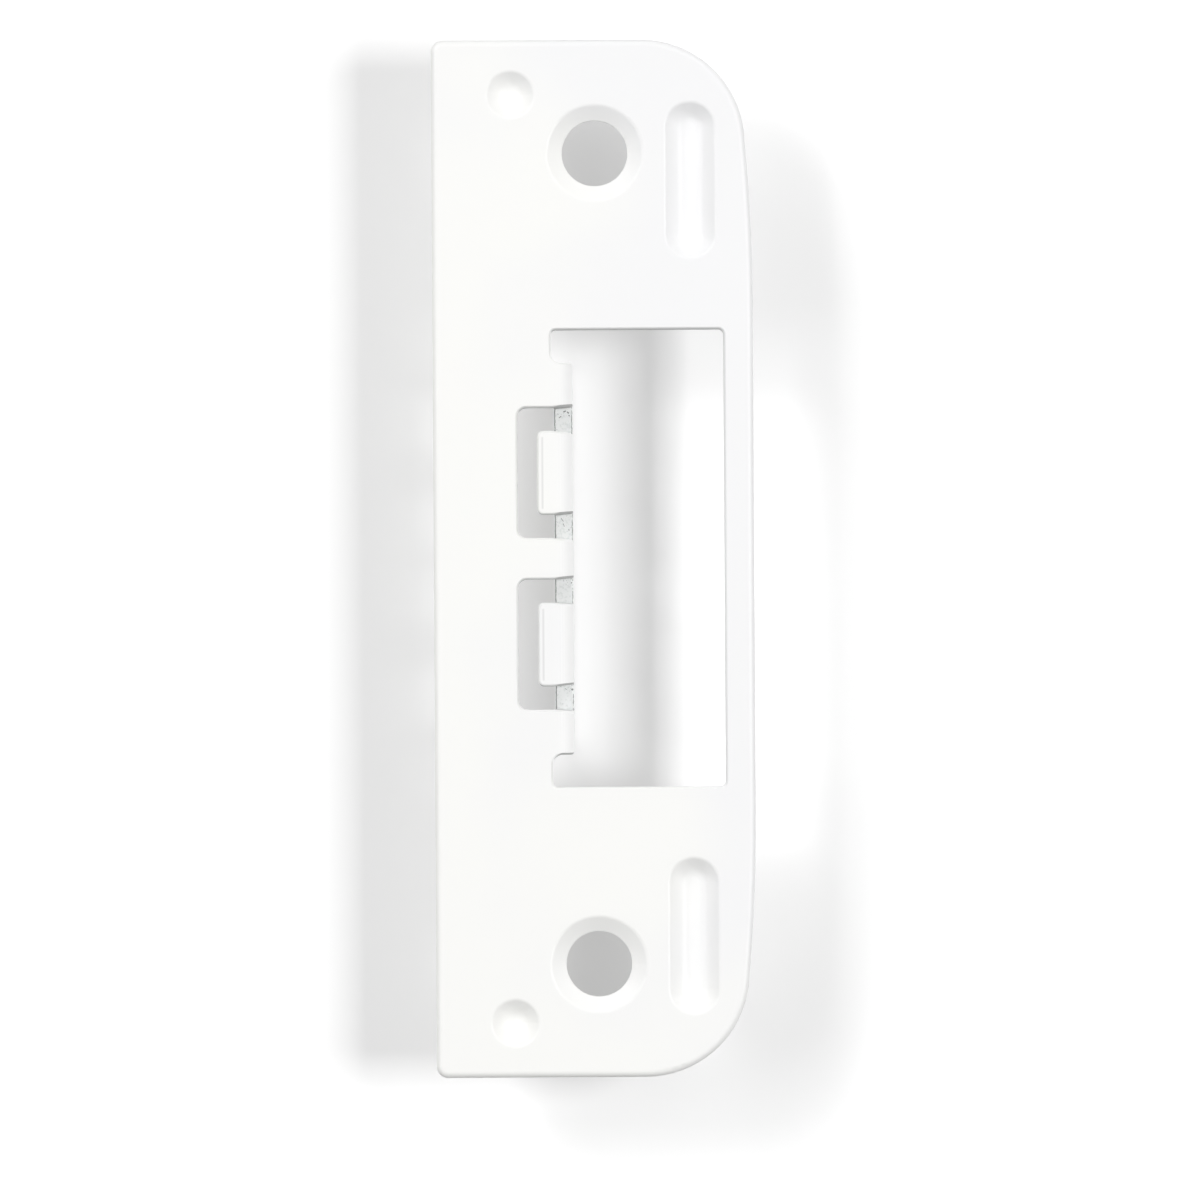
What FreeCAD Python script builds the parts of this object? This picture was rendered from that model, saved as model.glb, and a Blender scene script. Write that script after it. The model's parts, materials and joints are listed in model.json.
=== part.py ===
import FreeCAD, Part

import math
import os

# Door strike plate: one piece of sheet steel, punched, pressed and folded, with a thin white coat.
# It stands upright, as it is screwed to a door frame: Z runs along its length, X across its width
# and Y into the frame, so the face that shows looks towards -Y. The origin lies midway between the
# two screw holes, on the back face that seats on the frame. One long edge is square. The other,
# where the latch rides over it, has large round corners. All sizes are in millimetres and degrees.

Vector = FreeCAD.Vector
ORIGIN = Vector(0, 0, 0)
INTO_FRAME = Vector(0, 1, 0)
ALONG = Vector(0, 0, 1)

# Sheet and outline
SHEET = 2.0                 # thickness of the steel with its coat
LENGTH = 110.0
WIDTH = 34.0
SQUARE_CORNER_R = 1.2
ROUND_CORNER_R = 11.0
RUN_IN_R = 200.0            # the round edge runs in along this arc towards both of its corners
RUN_IN_START = 28.0         # from each end of the plate to the start of that arc
FACE_EDGE_R = 0.7           # front edge of the outline, drawn soft by the press
BACK_EDGE = 0.2             # chamfer along the back edge of the outline

# Screw holes, sunk from the front
SCREW_LINE = 17.3           # from the square edge to the middle of the holes
SCREW_INSET = 12.0          # from each end of the plate to the middle of its hole
SCREW_HOLE_D = 7.0
SCREW_LAND = 0.88           # straight stretch of the hole, at the back
SCREW_SINK_ANGLE = 110.0    # between opposite sides of the cone
SCREW_RIM_R = 0.6

# Opening for the latch and the dead bolt
OPENING_HEIGHT = 48.5
OPENING_CORNER_R = 0.6
ROUND_RAIL = 3.15           # strip left between the opening and the round edge
PUNCHED_EDGE = 0.22         # chamfer along the front edge of all that is punched out, eased by the coat

# Lip folded back from the opening's square side, which guides the latch home
LIP_FACE = 14.8             # from the square edge to the lip's outer face
LIP_DEPTH = 12.0            # from the plate's front face to the lip's free edge
LIP_CORNER_R = 2.0
LIP_ROOT_R = 1.0
BEND_INNER_R = 0.2
RELIEF_HEIGHT = 3.45        # room at each end of the lip, where the sheet could not fold
RELIEF_REACH = 0.05         # the relief is this much deeper than the bend
RELIEF_CORNER_R = 0.5

# Adjusting tabs, bent with a screwdriver to set the latch's play, and the windows round them
LIP_END_STRIP = 4.8         # between an end of the lip and its window
LIP_MIDDLE_STRIP = 4.4      # between the two windows
WINDOW_CORNER_R = 0.95
SLIT_WIDTH = 2.45           # beside each tab
SLIT_DEPTH = 6.0            # from the plate's front face to the slits' ends in the lip
SLIT_END_R = 0.3
TAB_REACH = 1.6             # from the bend to the tab's free end
TAB_GAP = 2.05              # from the tab's free end to the window's edge
TAB_CORNER_R = 0.65
BEND_DRAW = 0.2             # the bend draws in every side that was cut before folding
BEND_DRAW_R = 4.0

# Dimples and grooves pressed in from the front, which stand out of the back
PRESS_DEPTH = 1.5
PRESS_RIM_R = 0.5
PRESS_TIP_R = 1.2
PRESS_SPREAD = 0.4          # the bump on the back is this much wider all round
DIMPLE_D = 5.0
DIMPLE_TIP_D = 1.8
DIMPLE_LINE = 8.4           # from the square edge to the dimples
DIMPLE_INSET = 5.8          # from each end of the plate to its dimple
GROOVE_WIDTH = 5.3
GROOVE_TIP_WIDTH = 2.2
GROOVE_LINE = 6.6           # from the round edge to the middle of the grooves
GROOVE_END_GAP = 6.65       # from each end of the plate to its groove
GROOVE_OPENING_GAP = 7.5    # from the opening to each groove

# Working allowances
RUN_OUT = 1.0               # a cutter runs this far past the faces that it opens
ROOT = 0.2                  # a bump reaches this far into the sheet that carries it
TOUCH = 1e-4                # points closer than this are the same point
SHARP = 30.0                # faces that meet at more than this angle leave a sharp edge
FULL_TURN = 360.0

# Places that follow from the sizes
FRONT_Y = -SHEET
BACK_Y = 0.0
SQUARE_EDGE_X = -SCREW_LINE
ROUND_EDGE_X = SQUARE_EDGE_X + WIDTH
END_Z = LENGTH / 2
OPENING_X = ROUND_EDGE_X - ROUND_RAIL
OPENING_Z = OPENING_HEIGHT / 2
BEND_OUTER_R = BEND_INNER_R + SHEET
LIP_FACE_X = SQUARE_EDGE_X + LIP_FACE
LIP_BACK_X = LIP_FACE_X - SHEET
LIP_END_Y = FRONT_Y + LIP_DEPTH
LIP_Z = OPENING_Z - RELIEF_HEIGHT
BEND_X = LIP_FACE_X - BEND_OUTER_R
BEND_Y = FRONT_Y + BEND_OUTER_R
RELIEF_X = BEND_X - RELIEF_REACH
TAB_X = BEND_X - TAB_REACH
WINDOW_X = TAB_X - TAB_GAP
SLIT_END_Y = FRONT_Y + SLIT_DEPTH
SCREW_Z = END_Z - SCREW_INSET


def rounded_wire(corners):
    """Closed wire through corners given as (point, radius), each rounded by an arc."""
    joints = []
    for index, (corner, radius) in enumerate(corners):
        if radius == 0:
            joints.append((corner, None, corner))
            continue
        back = (corners[index - 1][0] - corner).normalize()
        ahead = (corners[(index + 1) % len(corners)][0] - corner).normalize()
        half_turn = back.getAngle(ahead) / 2
        reach = radius / math.tan(half_turn)
        inward = (back + ahead).normalize()
        middle = corner + inward * (radius / math.sin(half_turn) - radius)
        joints.append((corner + back * reach, middle, corner + ahead * reach))
    edges = []
    for index, (start, middle, end) in enumerate(joints):
        before = joints[index - 1][2]
        if before.distanceToPoint(start) > TOUCH:
            edges.append(Part.LineSegment(before, start).toShape())
        if middle is not None:
            edges.append(Part.Arc(start, middle, end).toShape())
    return Part.Wire(edges)


def prism(corners, travel):
    """Solid swept in a straight line by the outline through corners given as (point, radius)."""
    return Part.Face(rounded_wire(corners)).extrude(travel)


def punch(corners, y_end):
    """Cutter along Y, from ahead of the face to y_end, with corners given as (x, z, radius)."""
    y_start = FRONT_Y - RUN_OUT
    outline = [(Vector(x, y_start, z), radius) for x, z, radius in corners]
    return prism(outline, INTO_FRAME * (y_end - y_start))


def with_lower_copy(shape):
    """The shape and its mirror image at the lower end of the plate."""
    return [shape, shape.mirror(ORIGIN, ALONG)]


def middle_of(edge):
    """Point halfway along an edge."""
    return edge.valueAt((edge.FirstParameter + edge.LastParameter) / 2)


def blank_outline():
    """Closed wire round the blank at its front face, drawn for the upper half and mirrored."""
    centre_gap = RUN_IN_R - ROUND_CORNER_R
    rise = RUN_IN_START - ROUND_CORNER_R
    join_angle = math.asin(rise / centre_gap)
    run_in = Vector(ROUND_EDGE_X - RUN_IN_R, FRONT_Y, END_Z - RUN_IN_START)
    corner = run_in + Vector(centre_gap * math.cos(join_angle), 0, rise)

    def on_circle(centre, radius, angle):
        return centre + Vector(math.cos(angle), 0, math.sin(angle)) * radius

    quarter = math.pi / 2
    edge_middle = Vector(ROUND_EDGE_X, FRONT_Y, 0)
    run_in_start = on_circle(run_in, RUN_IN_R, 0)
    run_in_middle = on_circle(run_in, RUN_IN_R, join_angle / 2)
    join = on_circle(corner, ROUND_CORNER_R, join_angle)
    corner_middle = on_circle(corner, ROUND_CORNER_R, (join_angle + quarter) / 2)
    crown = on_circle(corner, ROUND_CORNER_R, quarter)

    square_centre = Vector(SQUARE_EDGE_X + SQUARE_CORNER_R, FRONT_Y, END_Z - SQUARE_CORNER_R)
    square_start = on_circle(square_centre, SQUARE_CORNER_R, quarter)
    square_middle = on_circle(square_centre, SQUARE_CORNER_R, 3 * quarter / 2)
    square_end = on_circle(square_centre, SQUARE_CORNER_R, 2 * quarter)
    upper = [
        Part.LineSegment(edge_middle, run_in_start),
        Part.Arc(run_in_start, run_in_middle, join),
        Part.Arc(join, corner_middle, crown),
        Part.LineSegment(crown, square_start),
        Part.Arc(square_start, square_middle, square_end),
        Part.LineSegment(square_end, Vector(SQUARE_EDGE_X, FRONT_Y, 0)),
    ]
    edges = []
    for curve in upper:
        edges += with_lower_copy(curve.toShape())
    return Part.Wire(Part.sortEdges(edges)[0])


def rim_at(sheet, y):
    """Edges round a flat sheet that lie in its face at y."""
    return [edge for edge in sheet.Edges if edge.BoundBox.YLength < TOUCH
            and abs(middle_of(edge).y - y) < TOUCH]


def blank():
    """Flat blank, with its soft front edge and its crisp back edge."""
    sheet = Part.Face(blank_outline()).extrude(INTO_FRAME * SHEET)
    sheet = sheet.makeFillet(FACE_EDGE_R, rim_at(sheet, FRONT_Y))
    return sheet.makeChamfer(BACK_EDGE, rim_at(sheet, BACK_Y))


def latch_opening():
    """Cutter for the whole opening, as far as the line where the lip folds."""
    return punch([
        (OPENING_X, OPENING_Z, OPENING_CORNER_R),
        (OPENING_X, -OPENING_Z, OPENING_CORNER_R),
        (RELIEF_X, -OPENING_Z, RELIEF_CORNER_R),
        (RELIEF_X, OPENING_Z, RELIEF_CORNER_R),
    ], BACK_Y + RUN_OUT)


def folded_strip():
    """Strip with the lip's section: flat sheet, bend and wall, long enough for the lip's root."""
    root_z = LIP_Z + LIP_ROOT_R
    section = [
        (RELIEF_X, FRONT_Y, 0),
        (LIP_FACE_X, FRONT_Y, BEND_OUTER_R),
        (LIP_FACE_X, LIP_END_Y, 0),
        (LIP_BACK_X, LIP_END_Y, 0),
        (LIP_BACK_X, BACK_Y, BEND_INNER_R),
        (RELIEF_X, BACK_Y, 0),
    ]
    outline = [(Vector(x, y, -root_z), radius) for x, y, radius in section]
    return prism(outline, ALONG * (2 * root_z))


def lip():
    """Folded lip, cut to length, with a flared root and with rounded corners at its free edge."""
    beyond_x = LIP_FACE_X + RUN_OUT
    beyond_z = LIP_Z + LIP_ROOT_R + RUN_OUT
    end_cut = punch([
        (RELIEF_X, beyond_z, 0),
        (beyond_x, beyond_z, 0),
        (beyond_x, LIP_Z, 0),
        (RELIEF_X, LIP_Z, LIP_ROOT_R),
    ], LIP_END_Y + RUN_OUT)
    strip = folded_strip().cut(with_lower_copy(end_cut))

    def is_free_corner(edge):
        at_free_edge = abs(middle_of(edge).y - LIP_END_Y) < TOUCH
        at_end = abs(abs(middle_of(edge).z) - LIP_Z) < TOUCH
        return at_free_edge and at_end and edge.BoundBox.XLength > TOUCH

    return strip.makeFillet(LIP_CORNER_R, [edge for edge in strip.Edges if is_free_corner(edge)])


def tab_window():
    """Cutter for the upper window, which goes round its tab and runs down the lip as two slits."""
    beyond_x = LIP_FACE_X + RUN_OUT
    draw = BEND_DRAW * (beyond_x - BEND_X) / BEND_OUTER_R
    window_low_z = LIP_MIDDLE_STRIP / 2
    window_high_z = LIP_Z - LIP_END_STRIP
    tab_low_z = window_low_z + SLIT_WIDTH
    tab_high_z = window_high_z - SLIT_WIDTH
    cutter = punch([
        (WINDOW_X, window_low_z, WINDOW_CORNER_R),
        (WINDOW_X, window_high_z, WINDOW_CORNER_R),
        (BEND_X, window_high_z, BEND_DRAW_R),
        (beyond_x, window_high_z + draw, 0),
        (beyond_x, tab_high_z - draw, 0),
        (BEND_X, tab_high_z, BEND_DRAW_R),
        (TAB_X, tab_high_z, TAB_CORNER_R),
        (TAB_X, tab_low_z, TAB_CORNER_R),
        (BEND_X, tab_low_z, BEND_DRAW_R),
        (beyond_x, tab_low_z + draw, 0),
        (beyond_x, window_low_z - draw, 0),
        (BEND_X, window_low_z, BEND_DRAW_R),
    ], SLIT_END_Y)

    def shapes_slit_end(edge):
        deep = abs(middle_of(edge).y - SLIT_END_Y) < TOUCH and edge.BoundBox.YLength < TOUCH
        in_wall = edge.BoundBox.XMax > LIP_FACE_X and edge.BoundBox.XLength > RUN_OUT
        return deep and in_wall

    return cutter.makeFillet(SLIT_END_R, [edge for edge in cutter.Edges if shapes_slit_end(edge)])


def on_outer_skin(point):
    """True on the plate's face, on the outside of the bend and on the lip's outer face."""
    if abs(point.y - FRONT_Y) < TOUCH:
        return True
    if point.y < BEND_Y:
        axis_gap = math.hypot(point.x - BEND_X, point.y - BEND_Y)
        return abs(axis_gap - BEND_OUTER_R) < TOUCH
    return abs(point.x - LIP_FACE_X) < TOUCH


def punched_edges(shape):
    """Sharp edges that the opening, the windows and the lip's outline leave on the outer skin."""
    def is_sharp(edge):
        point = middle_of(edge)
        faces = shape.ancestorsOfType(edge, Part.Face)
        normals = [face.normalAt(*face.Surface.parameter(point)) for face in faces]
        turn = math.degrees(normals[0].getAngle(normals[-1]))
        return SHARP < turn < FULL_TURN / 2 - SHARP
    return [edge for edge in shape.Edges if on_outer_skin(middle_of(edge)) and is_sharp(edge)]


def folded_plate():
    """Blank with its opening, its folded lip and its tabs, all with eased punched edges."""
    plate = blank().cut(latch_opening())
    plate = plate.fuse(lip())
    plate = plate.cut(with_lower_copy(tab_window()))
    plate = plate.removeSplitter()
    return plate.makeChamfer(PUNCHED_EDGE, punched_edges(plate))


def pressed_form(width, tip_width, length, face_y, cap_y):
    """Pressed form along Z, from cap_y through the face at face_y and on to its rounded tip."""
    run = (width - tip_width) / 2
    half_slope = math.atan2(PRESS_DEPTH, run) / 2
    tip_y = face_y + PRESS_DEPTH
    rim_x = width / 2 + PRESS_RIM_R * math.tan(half_slope)
    wall = [
        (tip_width / 2, tip_y, PRESS_TIP_R),
        (width / 2, face_y, PRESS_RIM_R),
        (rim_x, face_y, 0),
        (rim_x, cap_y, 0),
    ]

    half_section = [(0, tip_y, 0)] + wall + [(0, cap_y, 0)]
    half_outline = [(Vector(x, y, 0), radius) for x, y, radius in half_section]
    half_face = Part.Face(rounded_wire(half_outline))
    straight = length - width
    if straight < TOUCH:
        return half_face.revolve(ORIGIN, INTO_FRAME, FULL_TURN)

    half_face.translate(ALONG * (straight / 2))
    end = half_face.revolve(ALONG * (straight / 2), INTO_FRAME, -FULL_TURN / 2)
    section = wall + [(-x, y, radius) for x, y, radius in reversed(wall)]
    outline = [(Vector(x, y, -straight / 2), radius) for x, y, radius in section]
    return prism(outline, ALONG * straight).fuse(with_lower_copy(end))


def press(plate, width, tip_width, length, place):
    """Plate with one form pressed in at a place and at its mirror image: hollow and bump."""
    spread = 2 * PRESS_SPREAD
    hollow = pressed_form(width, tip_width, length, FRONT_Y, FRONT_Y - RUN_OUT)
    bump = pressed_form(width + spread, tip_width + spread, length + spread, BACK_Y, BACK_Y - ROOT)
    for form in (hollow, bump):
        form.translate(place)
    return plate.fuse(with_lower_copy(bump)).cut(with_lower_copy(hollow))


def press_dimples(plate):
    """Plate with a round dimple near each of its square corners."""
    place = Vector(SQUARE_EDGE_X + DIMPLE_LINE, 0, END_Z - DIMPLE_INSET)
    return press(plate, DIMPLE_D, DIMPLE_TIP_D, DIMPLE_D, place)


def press_grooves(plate):
    """Plate with a long groove beside each screw hole, towards the round edge."""
    high_z = END_Z - GROOVE_END_GAP
    low_z = OPENING_Z + GROOVE_OPENING_GAP
    place = Vector(ROUND_EDGE_X - GROOVE_LINE, 0, (high_z + low_z) / 2)
    return press(plate, GROOVE_WIDTH, GROOVE_TIP_WIDTH, high_z - low_z, place)


def screw_hole():
    """Cutter for the upper screw hole: a straight land, a cone and a soft rim."""
    half_angle = math.radians(SCREW_SINK_ANGLE) / 2
    hole_r = SCREW_HOLE_D / 2
    mouth_r = hole_r + (SHEET - SCREW_LAND) * math.tan(half_angle)
    rim_r = mouth_r + SCREW_RIM_R * math.tan((math.pi / 2 - half_angle) / 2)
    section = [
        (0, BACK_Y + RUN_OUT, 0),
        (hole_r, BACK_Y + RUN_OUT, 0),
        (hole_r, BACK_Y - SCREW_LAND, 0),
        (mouth_r, FRONT_Y, SCREW_RIM_R),
        (rim_r, FRONT_Y, 0),
        (rim_r, FRONT_Y - RUN_OUT, 0),
        (0, FRONT_Y - RUN_OUT, 0),
    ]
    outline = [(Vector(x, y, SCREW_Z), radius) for x, y, radius in section]
    axis_point = ALONG * SCREW_Z
    return Part.Face(rounded_wire(outline)).revolve(axis_point, INTO_FRAME, FULL_TURN)


def strike_plate():
    """The whole plate, as one solid."""
    plate = press_grooves(press_dimples(folded_plate()))
    plate = plate.cut(with_lower_copy(screw_hole()))
    return plate.removeSplitter()


os.makedirs("parts", exist_ok=True)
strike_plate().exportStep("parts/strike_plate.step")
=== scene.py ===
"""Studio picture of a white door strike plate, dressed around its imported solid.

Everything is in metres and in the plate's own frame: Z runs along the plate, X across it towards
its round edge and Y into the door frame, so the face that shows looks towards -Y. The solid keeps
its shape as it is. This script gives it its finish, and adds the sheet that it lies on, the floor,
the lamps and the camera.
"""

import json
import logging
import math
from dataclasses import dataclass, field
from enum import Enum

import bpy
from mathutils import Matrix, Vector

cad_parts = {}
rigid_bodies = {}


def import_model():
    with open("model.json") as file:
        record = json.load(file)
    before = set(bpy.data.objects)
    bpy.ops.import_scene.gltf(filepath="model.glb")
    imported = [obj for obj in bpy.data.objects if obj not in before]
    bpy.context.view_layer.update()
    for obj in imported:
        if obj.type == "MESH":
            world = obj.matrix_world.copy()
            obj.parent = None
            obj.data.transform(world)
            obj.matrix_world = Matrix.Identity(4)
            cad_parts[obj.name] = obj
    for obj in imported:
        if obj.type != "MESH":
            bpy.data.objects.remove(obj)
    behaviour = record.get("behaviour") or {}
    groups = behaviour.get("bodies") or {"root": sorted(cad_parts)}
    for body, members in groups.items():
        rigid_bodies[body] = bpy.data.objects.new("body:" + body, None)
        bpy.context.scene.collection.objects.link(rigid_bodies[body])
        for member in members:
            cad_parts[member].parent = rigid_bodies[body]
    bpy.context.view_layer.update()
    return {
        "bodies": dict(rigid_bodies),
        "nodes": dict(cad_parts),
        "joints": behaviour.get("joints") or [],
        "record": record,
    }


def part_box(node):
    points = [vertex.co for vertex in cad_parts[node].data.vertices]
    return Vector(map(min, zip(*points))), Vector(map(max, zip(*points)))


LOG = logging.getLogger("strike_plate_scene")

MILLIMETRE = 0.001
PICTURE_SIDE = 1190             # pixels along each side of the photograph

Colour = tuple[float, float, float]
Point = tuple[float, float, float]


def mm(value: float) -> float:
    """Length in metres of a length given in millimetres."""
    return value * MILLIMETRE


class Body(Enum):
    """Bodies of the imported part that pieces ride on."""

    PLATE = "root"


class Arithmetic(Enum):
    """Sums that a finish works out between two of its values."""

    ADD = "ADD"
    SUBTRACT = "SUBTRACT"
    MULTIPLY = "MULTIPLY"
    LARGER = "MAXIMUM"
    SIZE_OF = "ABSOLUTE"


class Fineness(Enum):
    """How many finer layers a noise carries on its clouds."""

    PLAIN = 1.0
    FINE = 2.0
    BUSY = 3.0


class NodeBench:
    """Small helper that builds the nodes of one material or of the world."""

    def __init__(self, tree: bpy.types.NodeTree) -> None:
        """Starts on an empty tree.

        Args:
            tree: Node tree that the finish is built in.
        """
        tree.nodes.clear()
        self.tree = tree

    def add(self, kind: str, **inputs: object) -> bpy.types.Node:
        """Adds one node and fills its inputs.

        Args:
            kind: Name of the kind of node.
            **inputs: Values or sockets, by input name with underscores for spaces.

        Returns:
            The new node.
        """
        node = self.tree.nodes.new(kind)
        for name, value in inputs.items():
            self.feed(node.inputs[name.replace("_", " ")], value)
        return node

    def feed(self, socket: bpy.types.NodeSocket, value: object) -> None:
        """Links a socket to another one, or sets its value.

        Args:
            socket: Input to fill.
            value: Output socket to link, or a plain value.
        """
        if isinstance(value, bpy.types.NodeSocket):
            self.tree.links.new(value, socket)
        else:
            socket.default_value = value

    def reckon(self, sum_kind: Arithmetic, first: object, second: object = 0.0) -> bpy.types.NodeSocket:
        """Works out one sum.

        Args:
            sum_kind: Which sum.
            first: First value or socket.
            second: Second value or socket.

        Returns:
            The socket that holds the result.
        """
        node = self.tree.nodes.new("ShaderNodeMath")
        node.operation = sum_kind.value
        self.feed(node.inputs[0], first)
        self.feed(node.inputs[1], second)
        return node.outputs[0]

    def ramp(self, value: object, low: float, high: float) -> bpy.types.NodeSocket:
        """Smooth step from 0 at low to 1 at high. With low above high it falls instead of rising.

        Args:
            value: Socket to read.
            low: Value that gives 0.
            high: Value that gives 1.

        Returns:
            The socket that holds the step.
        """
        node = self.tree.nodes.new("ShaderNodeMapRange")
        node.interpolation_type = "SMOOTHSTEP"
        self.feed(node.inputs["Value"], value)
        node.inputs["From Min"].default_value = min(low, high)
        node.inputs["From Max"].default_value = max(low, high)
        node.inputs["To Min"].default_value = 0.0 if low < high else 1.0
        node.inputs["To Max"].default_value = 1.0 if low < high else 0.0
        return node.outputs["Result"]

    def noise(
        self, place: bpy.types.NodeSocket, size: float, fineness: Fineness
    ) -> bpy.types.NodeSocket:
        """Cloudy noise from 0 to 1.

        Args:
            place: Socket with the place in metres.
            size: Width of a cloud in metres.
            fineness: How many finer layers it carries.

        Returns:
            The socket that holds the noise.
        """
        node = self.add("ShaderNodeTexNoise", Vector=place, Scale=1 / size, Detail=fineness.value)
        return node.outputs["Fac"]

    def parts(self, vector: object) -> tuple[bpy.types.NodeSocket, ...]:
        """Splits a vector into its X, Y and Z."""
        return tuple(self.add("ShaderNodeSeparateXYZ", Vector=vector).outputs)

    def near(self, value: object, middle: float, reach: float, fade: float) -> bpy.types.NodeSocket:
        """Finds where a value lies near a place.

        Args:
            value: Socket to read.
            middle: Middle of the stretch.
            reach: Half the width of the stretch.
            fade: Width over which its sides fade, half of it on each side of reach.

        Returns:
            The socket that is 1 inside the stretch and 0 outside it.
        """
        gap = self.reckon(Arithmetic.SIZE_OF, self.reckon(Arithmetic.SUBTRACT, value, middle))
        return self.ramp(gap, reach + fade / 2, reach - fade / 2)

    def strongest(self, shares: list[bpy.types.NodeSocket]) -> bpy.types.NodeSocket:
        """Takes the largest of several shares."""
        result = shares[0]
        for share in shares[1:]:
            result = self.reckon(Arithmetic.LARGER, result, share)
        return result

    def product(self, shares: list[bpy.types.NodeSocket]) -> bpy.types.NodeSocket:
        """Multiplies several shares."""
        result = shares[0]
        for share in shares[1:]:
            result = self.reckon(Arithmetic.MULTIPLY, result, share)
        return result

    def mix_colours(self, share: object, first: object, second: object) -> bpy.types.NodeSocket:
        """Blends two colours.

        Args:
            share: Share of the second colour.
            first: Colour or socket at share 0.
            second: Colour or socket at share 1.

        Returns:
            The socket that holds the blend.
        """
        node = self.tree.nodes.new("ShaderNodeMix")
        node.data_type = "RGBA"
        self.feed(node.inputs["Factor"], share)
        for name, value in (("A", first), ("B", second)):
            socket = next(s for s in node.inputs if s.name == name and s.type == "RGBA")
            self.feed(socket, value if isinstance(value, bpy.types.NodeSocket) else (*value, 1.0))
        return next(s for s in node.outputs if s.type == "RGBA")


@dataclass(frozen=True)
class PowderCoat:
    """Semi-gloss white powder coat, baked on, with a faint orange peel; its colours also carry painted
    light and shade.
    """

    # The two coat tones: random clouds blend them, and the lean paints a drift of shade, lighter and
    # warmer towards -X and -Z, darker and cooler towards +X and +Z.
    warm_lit_colour: Colour = (0.907, 0.906, 0.886)
    cool_shaded_colour: Colour = (0.875, 0.875, 0.88)
    cloud_size: float = mm(28)
    cloud_low: float = 0.35                     # noise up to here is all warm
    cloud_high: float = 0.65                    # and from here on all cool
    painted_shade_lean: Point = (13.0, 0.0, 2.0)        # added to the noise for each metre of X, Y and Z, a painted shade drift: darker and cooler towards +X and +Z
    roughness: float = 0.43
    roughness_swing: float = 0.05
    grain_size: float = mm(0.35)
    peel_size: float = mm(1.3)
    peel_depth: float = mm(0.012)
    gloss: float = 0.45
    edge_shade_colour: Colour = (0.5, 0.505, 0.5)     # painted shade on punched edges that look down, fainter on those that look sideways
    shaded_edge_roughness: float = 0.5
    painted_light_colour: Colour = (0.985, 0.985, 0.98)  # painted light on the outside of the bend where it turns towards +X
    bend_roughness: float = 0.6


@dataclass(frozen=True)
class Nick:
    """One dark mark on a slit's end, drawn as a short stroke. Sizes in millimetres and degrees."""

    x: float
    z: float
    length: float
    slant: float                    # from lying across the plate, rising towards +X
    width: float
    solid_to: float = 0.35          # widths from its middle line to where it starts to fade
    gone_at: float = 0.75           # and to where it has faded

    def draw(self, bench: NodeBench, place: bpy.types.NodeSocket) -> bpy.types.NodeSocket:
        """Draws the stroke.

        Args:
            bench: Bench that the nodes go on.
            place: Socket with the place in metres, already made to wander a little.

        Returns:
            A socket that is 1 on the stroke and 0 off it.
        """
        turn = bench.tree.nodes.new("ShaderNodeMapping")
        turn.vector_type = "TEXTURE"
        bench.feed(turn.inputs["Vector"], place)
        turn.inputs["Location"].default_value = (mm(self.x), 0.0, mm(self.z))
        turn.inputs["Rotation"].default_value = (0.0, -math.radians(self.slant), 0.0)
        along, _, across = bench.parts(turn.outputs[0])
        reach = bench.reckon(Arithmetic.SIZE_OF, along)
        past_end = bench.reckon(Arithmetic.SUBTRACT, reach, mm(self.length) / 2)
        beyond = bench.reckon(Arithmetic.LARGER, past_end, 0.0)
        gap = bench.add("ShaderNodeCombineXYZ", X=beyond, Y=across, Z=0.0).outputs[0]
        size = bench.tree.nodes.new("ShaderNodeVectorMath")
        size.operation = "LENGTH"
        bench.feed(size.inputs[0], gap)
        width = mm(self.width)
        return bench.ramp(size.outputs["Value"], width * self.gone_at, width * self.solid_to)


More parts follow.
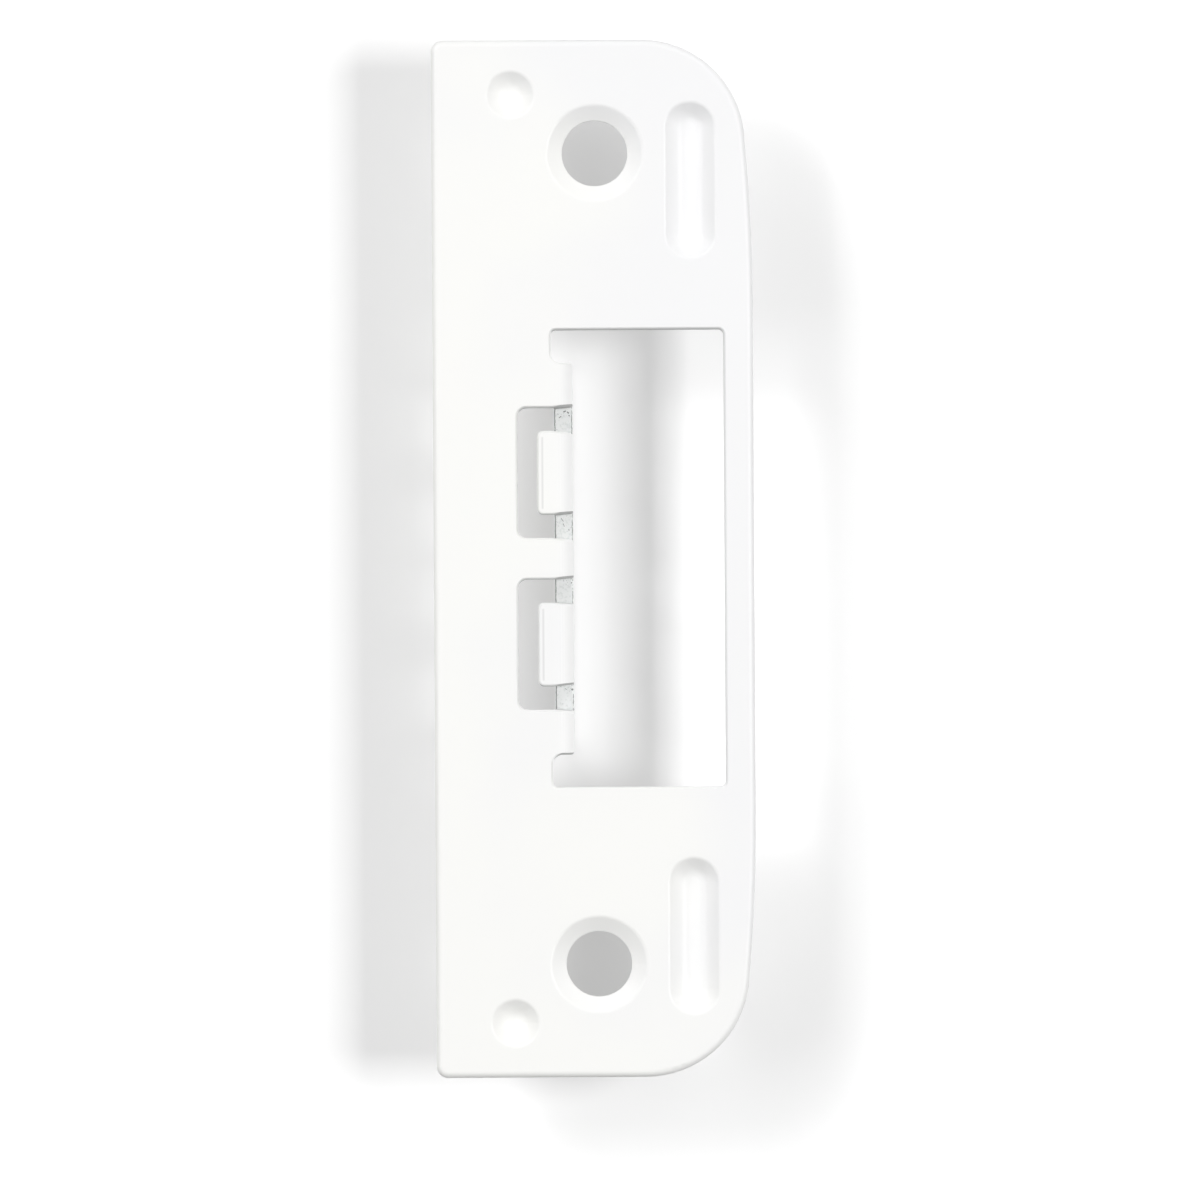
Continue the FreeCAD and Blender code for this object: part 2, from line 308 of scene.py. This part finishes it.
@dataclass(frozen=True)
class ShearedSteel:
    """Rough sheared end of a slit, which the spray hardly reached: pale, with dark marks and seams."""

    pale: Colour = (0.95, 0.965, 0.96)
    shaded: Colour = (0.84, 0.865, 0.855)
    dark: Colour = (0.26, 0.27, 0.265)
    mottle_size: float = mm(0.3)
    mottle_low: float = 0.5
    mottle_high: float = 0.66
    patch_size: float = mm(1.4)     # of the patches that hold specks
    patch_low: float = 0.5
    patch_high: float = 0.6
    speck_size: float = mm(0.16)
    speck_low: float = 0.64
    speck_high: float = 0.7
    wander: float = mm(0.14)        # how far seams and nicks stray from their line
    wander_size: float = mm(0.35)
    back_seam_x: float = mm(-4.4)
    back_seam_width: float = mm(0.1)
    front_seam_x: float = mm(-2.6)
    front_seam_width: float = mm(0.08)
    break_size: float = mm(0.5)     # of the breaks in the front seam
    break_low: float = 0.46
    break_high: float = 0.66
    roughness: float = 0.6
    nicks: tuple[Nick, ...] = (
        Nick(-3.35, 15.75, 0.2, 15, 0.11),
        Nick(-3.0, 15.62, 0.12, -40, 0.13),
        Nick(-2.85, 15.3, 0.05, 0, 0.1),
        Nick(-3.85, 15.15, 0.25, 35, 0.07),
        Nick(-3.68, 4.2, 0.45, -58, 0.05),
        Nick(-3.52, 3.6, 0.3, 100, 0.06),
        Nick(-2.95, 3.1, 0.12, -15, 0.07),
        Nick(-2.72, -2.55, 0.06, 40, 0.1),
        Nick(-2.72, -13.95, 0.02, 0, 0.18),
        Nick(-3.4, -13.9, 0.2, -30, 0.05),
    )

    def marks(self, bench: NodeBench, place: bpy.types.NodeSocket) -> bpy.types.NodeSocket:
        """Draws the nicks, the specks and the two seams.

        Args:
            bench: Bench that the nodes go on.
            place: Socket with the place in metres.

        Returns:
            A socket that is 1 in a mark and 0 elsewhere.
        """
        sway = bench.add(
            "ShaderNodeTexNoise",
            Vector=place,
            Scale=1 / self.wander_size,
            Detail=Fineness.FINE.value,
        )
        shift = bench.tree.nodes.new("ShaderNodeVectorMath")
        shift.operation = "MULTIPLY_ADD"
        bench.feed(shift.inputs[0], sway.outputs["Color"])
        shift.inputs[1].default_value = (self.wander,) * 3
        shift.inputs[2].default_value = (-self.wander / 2,) * 3
        wandering = bench.tree.nodes.new("ShaderNodeVectorMath")
        wandering.operation = "ADD"
        bench.feed(wandering.inputs[0], place)
        bench.feed(wandering.inputs[1], shift.outputs[0])

        across = bench.parts(wandering.outputs[0])[0]
        breaks = bench.noise(place, self.break_size, Fineness.PLAIN)
        back_half = self.back_seam_width / 2
        front_half = self.front_seam_width / 2
        back_seam = bench.near(across, self.back_seam_x, back_half, back_half)
        front_seam = bench.near(across, self.front_seam_x, front_half, front_half)
        patches = bench.noise(place, self.patch_size, Fineness.PLAIN)
        patches = bench.ramp(patches, self.patch_low, self.patch_high)
        specks = bench.noise(place, self.speck_size, Fineness.PLAIN)
        specks = bench.ramp(specks, self.speck_low, self.speck_high)
        shares = [
            back_seam,
            bench.product([front_seam, bench.ramp(breaks, self.break_high, self.break_low)]),
            bench.product([patches, specks]),
        ]
        shares += [nick.draw(bench, wandering.outputs[0]) for nick in self.nicks]
        return bench.strongest(shares)


@dataclass
class StrikePlate:
    """The plate's own solid and its finish.

    The places say where the four slits beside the adjusting tabs end in the folded lip, and where
    the opening, the windows and the tabs are punched.
    """

    node: str = "strike_plate"
    coat: PowderCoat = field(default_factory=PowderCoat)
    sheared: ShearedSteel = field(default_factory=ShearedSteel)
    slit_end_y: float = mm(4.0)
    deep_from: float = 0.5          # shares of that depth over which a surface comes to count as deep
    deep_to: float = 0.9
    out_from: float = 0.3           # how squarely a slit's end has to look out of the face
    out_to: float = 0.6
    flat_y: float = -0.95           # Y part of the way that a flat face looks, at most
    slanted_y: float = -0.8         # and of the way that an edge looks, at least
    backward_from: float = 0.3      # an edge that looks further back than this takes no painted shade
    backward_to: float = 0.5
    down_from: float = 0.2          # how far a punched edge has to look down to take painted shade
    down_to: float = 0.6
    side_edge_share: float = 0.4    # of that painted shade, on edges that look sideways
    crosswise_from: float = 0.2     # how far an edge on the bend has to look up or down to count
    crosswise_to: float = 0.4
    punched_x: float = mm(1.5)      # middle of all that is punched beside the screw holes
    punched_width: float = mm(26)
    punched_height: float = mm(50)
    bend_x: float = mm(-3.6)        # middle of the bend, which is smooth and not punched
    bend_width: float = mm(2.4)
    turned_from: float = 0.2        # how far the bend has to look towards +X to take painted light
    turned_to: float = 0.7
    edge_depth: float = mm(0.25)    # from the face to where a punched edge's painted shade is full
    shade_line_x: float = mm(-5.72)      # faint painted shade line along each tab's free end, where its rounded edge turns away
    shade_line_width: float = mm(0.2)
    shade_line_z: float = mm(9.1)
    shade_line_length: float = mm(7.6)
    shade_line_share: float = 0.35

    def dress(self, frame: dict) -> bpy.types.Object:
        """Gives the solid its finish.

        Args:
            frame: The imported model, as loaded.

        Returns:
            The solid's object.
        """
        plate = frame["nodes"][self.node]
        plate.data.materials.clear()
        plate.data.materials.append(self.finish())
        return plate

    def finish(self) -> bpy.types.Material:
        """Builds the material: powder coat with painted shade on punched edges and painted light on the
        outside of the bend, and bare steel.

        Returns:
            The material.
        """
        material = bpy.data.materials.new("white_powder_coat")
        material.use_nodes = True
        bench = NodeBench(material.node_tree)
        place = bench.add("ShaderNodeTexCoord").outputs["Object"]
        facing = bench.add("ShaderNodeNewGeometry").outputs["True Normal"]
        bare = self.slit_end_share(bench, place, facing)
        shaded_edges = self.edge_shade_share(bench, place, facing)
        bend = self.bend_share(bench, place)

        # Random tone clouds plus painted shade: darker and cooler towards +X and +Z.
        clouds_and_painted_shade = bench.noise(place, self.coat.cloud_size, Fineness.FINE)
        for part, lean in zip(bench.parts(place), self.coat.painted_shade_lean):
            clouds_and_painted_shade = bench.reckon(Arithmetic.ADD, clouds_and_painted_shade, bench.reckon(Arithmetic.MULTIPLY, part, lean))
        clouds_and_painted_shade = bench.ramp(clouds_and_painted_shade, self.coat.cloud_low, self.coat.cloud_high)
        coat_with_painted_light = bench.mix_colours(clouds_and_painted_shade, self.coat.warm_lit_colour, self.coat.cool_shaded_colour)
        # Painted light on the bend's outside, then painted shade on punched edges that look down.
        lit_bend = self.painted_light_share(bench, bend, facing)
        coat_with_painted_light = bench.mix_colours(lit_bend, coat_with_painted_light, self.coat.painted_light_colour)
        coat_with_painted_light = bench.mix_colours(shaded_edges, coat_with_painted_light, self.coat.edge_shade_colour)
        mottle = bench.noise(place, self.sheared.mottle_size, Fineness.BUSY)
        mottle = bench.ramp(mottle, self.sheared.mottle_low, self.sheared.mottle_high)
        steel_colour = bench.mix_colours(mottle, self.sheared.pale, self.sheared.shaded)
        marks = self.sheared.marks(bench, place)
        steel_colour = bench.mix_colours(marks, steel_colour, self.sheared.dark)
        colour = bench.mix_colours(bare, coat_with_painted_light, steel_colour)

        grain = bench.noise(place, self.coat.grain_size, Fineness.FINE)
        roughness = bench.reckon(Arithmetic.MULTIPLY, grain, self.coat.roughness_swing)
        roughness = bench.reckon(Arithmetic.ADD, roughness, self.coat.roughness)
        duller = (
            (shaded_edges, self.coat.shaded_edge_roughness),
            (bend, self.coat.bend_roughness),
            (bare, self.sheared.roughness),
        )
        for share, own in duller:
            extra = bench.reckon(Arithmetic.MULTIPLY, share, own - self.coat.roughness)
            roughness = bench.reckon(Arithmetic.ADD, roughness, extra)

        peel = bench.noise(place, self.coat.peel_size, Fineness.FINE)
        bump = bench.add("ShaderNodeBump", Strength=1.0, Distance=self.coat.peel_depth, Height=peel)
        shader = bench.add(
            "ShaderNodeBsdfPrincipled",
            Base_Color=colour,
            Roughness=roughness,
            Specular_IOR_Level=self.coat.gloss,
            Normal=bump.outputs["Normal"],
        )
        bench.add("ShaderNodeOutputMaterial", Surface=shader.outputs["BSDF"])
        return material

    def slit_end_share(
        self, bench: NodeBench, place: bpy.types.NodeSocket, facing: bpy.types.NodeSocket
    ) -> bpy.types.NodeSocket:
        """Finds the sheared ends of the slits, which look out of the face from deep in the lip.

        Args:
            bench: Bench that the nodes go on.
            place: Socket with the place in metres.
            facing: Socket with the way the surface looks.

        Returns:
            A socket that is 1 on those ends and 0 elsewhere.
        """
        depth = bench.parts(place)[1]
        deep = bench.ramp(depth, self.slit_end_y * self.deep_from, self.slit_end_y * self.deep_to)
        outward = bench.ramp(bench.parts(facing)[1], -self.out_from, -self.out_to)
        return bench.product([deep, outward])

    def bend_share(self, bench: NodeBench, place: bpy.types.NodeSocket) -> bpy.types.NodeSocket:
        """Finds the bend beside the opening, where the coat is duller.

        Args:
            bench: Bench that the nodes go on.
            place: Socket with the place in metres.

        Returns:
            A socket that is 1 on the bend and 0 elsewhere.
        """
        x, _, z = bench.parts(place)
        on_bend = bench.near(x, self.bend_x, self.bend_width / 2, self.shade_line_width)
        beside_opening = bench.near(z, 0.0, self.punched_height / 2, self.shade_line_width)
        return bench.product([on_bend, beside_opening])

    def painted_light_share(
        self, bench: NodeBench, bend: bpy.types.NodeSocket, facing: bpy.types.NodeSocket
    ) -> bpy.types.NodeSocket:
        """Finds the outside of the bend where it turns into the opening, where light is painted onto
        the coat.

        Args:
            bench: Bench that the nodes go on.
            bend: Socket that is 1 on the bend.
            facing: Socket with the way the surface looks.

        Returns:
            A socket that is 1 there and 0 elsewhere.
        """
        turned = bench.ramp(bench.parts(facing)[0], self.turned_from, self.turned_to)
        return bench.product([turned, bend])

    def edge_shade_share(
        self, bench: NodeBench, place: bpy.types.NodeSocket, facing: bpy.types.NodeSocket
    ) -> bpy.types.NodeSocket:
        """Finds where shade is painted: punched edges that look down or sideways, and a line along each
        tab's free end.

        Args:
            bench: Bench that the nodes go on.
            place: Socket with the place in metres.
            facing: Socket with the way the surface looks.

        Returns:
            A socket that is 1 on those edges and 0 elsewhere.
        """
        x, y, z = bench.parts(place)
        _, out, up = bench.parts(facing)
        face_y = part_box(self.node)[0].y
        below_face = bench.ramp(y, face_y, face_y + self.edge_depth)
        slanted = bench.product([
            bench.ramp(out, self.flat_y, self.slanted_y),
            bench.ramp(out, self.backward_to, self.backward_from),
        ])
        fade = self.shade_line_width
        upward = bench.reckon(Arithmetic.SIZE_OF, z)
        inside = bench.product([
            bench.near(x, self.punched_x, self.punched_width / 2, fade),
            bench.near(z, 0.0, self.punched_height / 2, fade),
        ])
        bend = bench.near(x, self.bend_x, self.bend_width / 2, fade)
        off_bend = bench.reckon(Arithmetic.SUBTRACT, 1.0, bend)
        sloped = bench.reckon(Arithmetic.SIZE_OF, up)
        crosswise = bench.ramp(sloped, self.crosswise_from, self.crosswise_to)
        downward = bench.ramp(up, -self.down_from, -self.down_to)
        sideways = bench.ramp(sloped, self.down_to, self.down_from)
        sideways = bench.reckon(Arithmetic.MULTIPLY, sideways, self.side_edge_share)
        # Painted shade on punched edges that look down, and weaker on those that look sideways.
        edge_shade = bench.product([bench.strongest([downward, sideways]), below_face])
        edges = bench.product([slanted, inside, bench.strongest([off_bend, crosswise]), edge_shade])

        # Painted shade: a faint line on the flat face along each tab's free end.
        flat = bench.ramp(out, self.flat_y, -1.0)
        beside_tab = bench.near(upward, self.shade_line_z, self.shade_line_length / 2, fade)
        shade_line = bench.near(x, self.shade_line_x, self.shade_line_width / 2, self.shade_line_width)
        shade_line = bench.product([shade_line, beside_tab, flat])
        return bench.strongest([edges, bench.reckon(Arithmetic.MULTIPLY, shade_line, self.shade_line_share)])


@dataclass(frozen=True)
class SoftBox:
    """One soft lamp, placed by the way it looks from the plate.

    Its share is the tone that it alone gives a white surface that lies as the plate's face does.
    """

    name: str
    share: float
    across: float                   # how far it stands towards +X, for each metre it stands off
    up: float                       # how far it stands up, for each metre it stands off
    width: float
    height: float
    stand_off: float = -0.9         # along Y from the plate; the face looks towards -Y

    def hang(self) -> bpy.types.Object:
        """Adds the lamp, turned to the plate.

        Returns:
            The lamp's object.
        """
        reach = abs(self.stand_off)
        place = Vector((self.across * reach, self.stand_off, self.up * reach))
        distance = place.length
        lamp = bpy.data.lights.new(self.name, "AREA")
        lamp.shape = "RECTANGLE"
        lamp.size = self.width
        lamp.size_y = self.height
        # A lamp turned to the plate gives its face a tone of power * cosine / (pi * distance) ** 2,
        # and the cosine is reach / distance.
        lamp.energy = self.share * math.pi ** 2 * distance ** 2 * distance / reach
        holder = bpy.data.objects.new(self.name, lamp)
        holder.location = place
        holder.rotation_mode = "QUATERNION"
        holder.rotation_quaternion = (-place).to_track_quat("-Z", "Y")
        bpy.context.scene.collection.objects.link(holder)
        return holder


@dataclass(frozen=True)
class PaleSheet:
    """Matt white sheet that takes shadows, as the floor or as what the plate lies on."""

    name: str
    centre: Point
    facing: Point
    side: float
    colour: Colour
    glow: float                     # added for the eye and in reflections, to bring the white up

    def lay(self) -> bpy.types.Object:
        """Makes the sheet.

        Returns:
            The sheet's object.
        """
        half = self.side / 2
        mesh = bpy.data.meshes.new(self.name)
        corners = [(-half, -half, 0), (half, -half, 0), (half, half, 0), (-half, half, 0)]
        mesh.from_pydata(corners, [], [(0, 1, 2, 3)])
        mesh.materials.append(self.finish())
        sheet = bpy.data.objects.new(self.name, mesh)
        sheet.location = self.centre
        sheet.rotation_mode = "QUATERNION"
        sheet.rotation_quaternion = Vector(self.facing).to_track_quat("Z", "Y")
        bpy.context.scene.collection.objects.link(sheet)
        sheet.visible_shadow = False
        sheet.visible_diffuse = False
        return sheet

    def finish(self) -> bpy.types.Material:
        """Builds the sheet's material, which only shows from the side that it faces.

        Returns:
            The material.
        """
        material = bpy.data.materials.new(self.name + "_paper")
        material.use_nodes = True
        bench = NodeBench(material.node_tree)
        rays = bench.add("ShaderNodeLightPath").outputs
        seen = bench.reckon(Arithmetic.LARGER, rays["Is Camera Ray"], rays["Is Glossy Ray"])
        seen = bench.reckon(Arithmetic.LARGER, seen, rays["Is Transmission Ray"])
        strength = bench.reckon(Arithmetic.MULTIPLY, seen, self.glow)
        glow = bench.add("ShaderNodeEmission", Strength=strength)
        paper = bench.add("ShaderNodeBsdfDiffuse", Color=(*self.colour, 1.0))
        front = bench.tree.nodes.new("ShaderNodeAddShader")
        bench.feed(front.inputs[0], paper.outputs[0])
        bench.feed(front.inputs[1], glow.outputs[0])
        clear = bench.add("ShaderNodeBsdfTransparent")
        sides = bench.tree.nodes.new("ShaderNodeMixShader")
        bench.feed(sides.inputs[0], bench.add("ShaderNodeNewGeometry").outputs["Backfacing"])
        bench.feed(sides.inputs[1], front.outputs[0])
        bench.feed(sides.inputs[2], clear.outputs[0])
        bench.add("ShaderNodeOutputMaterial", Surface=sides.outputs[0])
        return material


@dataclass
class Studio:
    """Everything round the plate: sheets, lamps and the light of the room."""

    room_share: float = 0.343       # strength of the room's light, alike from all sides
    room_lean: Point = (-0.033, 0.033, 0.07)    # added to it towards +X, +Y and +Z
    backdrop_gap: float = mm(0.2)
    backdrop_side: float = 1.6
    backdrop_colour: Colour = (0.98, 0.98, 0.98)
    backdrop_glow: float = 0.1
    floor_gap: float = mm(20)
    floor_side: float = 1.6
    lamps: tuple[SoftBox, ...] = (
        SoftBox("upper_left_lamp", 0.118, -1.1, 0.9, 0.45, 0.45),
        SoftBox("high_left_lamp", 0.037, -1.2, 1.7, 0.5, 0.4),
        SoftBox("left_lamp", 0.056, -1.4, 0.0, 0.4, 0.6),
        SoftBox("middle_left_lamp", 0.055, -1.05, 0.6, 0.2, 0.3),
        SoftBox("narrow_left_lamp", 0.031, -0.75, 0.6, 0.15, 0.3),
        SoftBox("slim_left_lamp", 0.042, -0.78, 0.2, 0.1, 0.5),
        SoftBox("right_lamp", 0.335, 0.85, 0.0, 0.3, 0.5),
        SoftBox("far_right_lamp", 0.088, 1.3, 0.0, 0.35, 0.5),
        SoftBox("back_lamp", 0.139, 0.6, 0.5, 0.5, 0.5, stand_off=0.9),
    )

    def build(self) -> list[bpy.types.Object]:
        """Makes the sheets, the room's light and the lamps.

        Returns:
            The new objects.
        """
        low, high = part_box("strike_plate")
        backdrop = PaleSheet(
            "backdrop",
            (0.0, high.y + self.backdrop_gap, 0.0),
            (0.0, -1.0, 0.0),
            self.backdrop_side,
            self.backdrop_colour,
            self.backdrop_glow,
        )
        floor = PaleSheet(
            "floor",
            (0.0, 0.0, low.z - self.floor_gap),
            (0.0, 0.0, 1.0),
            self.floor_side,
            self.backdrop_colour,
            self.backdrop_glow,
        )
        made = [backdrop.lay(), floor.lay()]
        self.light_room()
        made += [lamp.hang() for lamp in self.lamps]
        return made

    def light_room(self) -> None:
        """Lights the room a little more from above, and shows it as plain white."""
        world = bpy.data.worlds.new("white_room")
        world.use_nodes = True
        bench = NodeBench(world.node_tree)
        rays = bench.add("ShaderNodeLightPath").outputs
        seen = bench.reckon(Arithmetic.LARGER, rays["Is Camera Ray"], rays["Is Glossy Ray"])
        seen = bench.reckon(Arithmetic.LARGER, seen, rays["Is Transmission Ray"])
        strength = self.room_share
        way = bench.parts(bench.add("ShaderNodeTexCoord").outputs["Generated"])
        for part, lean in zip(way, self.room_lean):
            more = bench.reckon(Arithmetic.MULTIPLY, part, lean)
            strength = bench.reckon(Arithmetic.ADD, strength, more)
        strength = bench.reckon(Arithmetic.LARGER, strength, seen)
        light = bench.add("ShaderNodeBackground", Color=(1.0, 1.0, 1.0, 1.0), Strength=strength)
        bench.add("ShaderNodeOutputWorld", Surface=light.outputs[0])
        bpy.context.scene.world = world


@dataclass(frozen=True)
class ProductCamera:
    """Long lens, square to the plate's face and a hair out of plumb."""

    distance: float = 0.8           # from the lens to the plate's face
    view_side: float = mm(126.1)    # what the picture spans at the plate's face
    sensor: float = 36.0            # in millimetres, as lenses are measured
    clip_span: float = 10.0         # how many times nearer and farther than the plate it sees
    lean: float = math.radians(0.35)
    centre_x_px: float = 594.3      # where the middle of the plate lies in the picture
    centre_y_px: float = 558.5

    def mount(self) -> bpy.types.Object:
        """Adds the camera and makes it the scene's own.

        Returns:
            The camera's object.
        """
        low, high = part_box("strike_plate")
        half_picture = PICTURE_SIDE / 2
        scale = self.view_side / PICTURE_SIDE
        right = (half_picture - self.centre_x_px) * scale
        down = (half_picture - self.centre_y_px) * scale
        lens = bpy.data.cameras.new("product_camera")
        lens.sensor_width = self.sensor
        lens.lens = self.sensor * self.distance / self.view_side
        lens.clip_start = self.distance / self.clip_span
        lens.clip_end = self.distance * self.clip_span
        holder = bpy.data.objects.new("product_camera", lens)
        holder.location = ((low.x + high.x) / 2 + right, low.y - self.distance, -down)
        holder.rotation_euler = (math.pi / 2, self.lean, 0.0)
        bpy.context.scene.collection.objects.link(holder)
        bpy.context.scene.camera = holder
        return holder


def main() -> None:
    """Loads the solid, dresses it and sets it in its studio."""
    logging.basicConfig(level=logging.INFO, format="%(name)s: %(message)s")
    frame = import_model()
    bpy.context.scene.view_settings.view_transform = "Standard"
    plate = StrikePlate().dress(frame)
    LOG.info("%s rides on %s, %d faces", plate.name, Body.PLATE.value, len(plate.data.polygons))
    for piece in Studio().build():
        LOG.info("%s set up", piece.name)
    LOG.info("%s set up", ProductCamera().mount().name)


if __name__ == "__main__":
    main()
